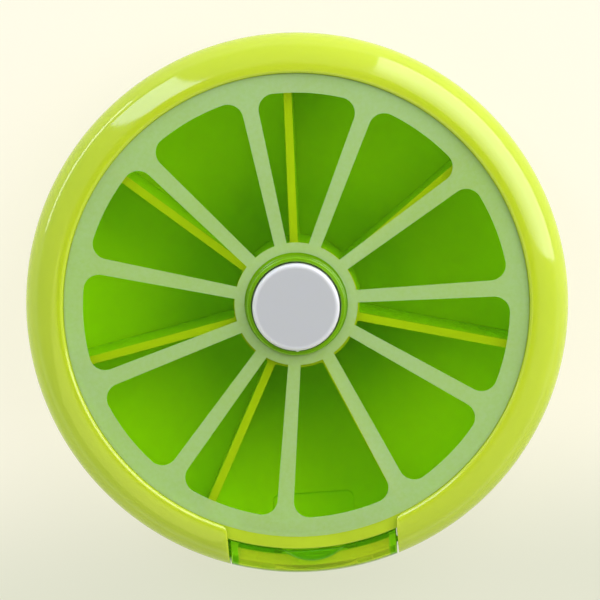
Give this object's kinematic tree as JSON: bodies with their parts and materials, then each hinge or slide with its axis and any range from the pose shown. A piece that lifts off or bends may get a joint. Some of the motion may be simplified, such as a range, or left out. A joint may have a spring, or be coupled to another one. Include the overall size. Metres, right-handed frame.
{
  "type": "weekly pill organizer",
  "caption": "Round weekly pill organizer: citrus-slice window, push-button divider wheel inside, and a small dispensing door in the rim.",
  "frame": {"origin": "centre of the flat back face, on the divider wheel's axis", "axes": "+Z along the wheel's axis and out through the window, -Y towards the dispensing door, +X along the door's hinge pin"},
  "size_m": [0.09, 0.09, 0.023],
  "materials": {
    "lime_plastic": "gloss",
    "green_clear": "clear tinted gloss",
    "frosted_print": "frosted ink",
    "white_plastic": "satin",
    "spring_steel": "bright",
    "screw_steel": "zinc plated"
  },
  "bodies": {
    "case": {"rear_case": "lime_plastic", "front_rim": "lime_plastic", "window": "green_clear", "slice_print": "frosted_print", "door_hinge_pin": "spring_steel", "lock_spring": "spring_steel", "lock_spring_screw": "screw_steel", "case_screws": "screw_steel"},
    "wheel": {"divider_wheel": "lime_plastic", "button_retainer": "lime_plastic", "button_spring": "spring_steel"},
    "button": {"push_button": "white_plastic"},
    "door": {"dispensing_door": "green_clear"}
  },
  "joints": [
    {"name": "wheel_turn", "type": "hinge", "parent": "case", "child": "wheel", "pos_m": [0, 0, 0], "axis": [0, 0, 1], "continuous": true},
    {"name": "button_press", "type": "slide", "parent": "wheel", "child": "button", "axis": [0, 0, -1], "range_m": [0, 0.002], "stiffness_N_per_m": 300, "springref_m": -0.0066, "deforming": ["button_spring", "lock_spring"]},
    {"name": "door_swing", "type": "hinge", "parent": "case", "child": "door", "pos_m": [0, -0.0418, 0.0039], "axis": [1, 0, 0], "range_deg": [0, 90]}
  ]
}
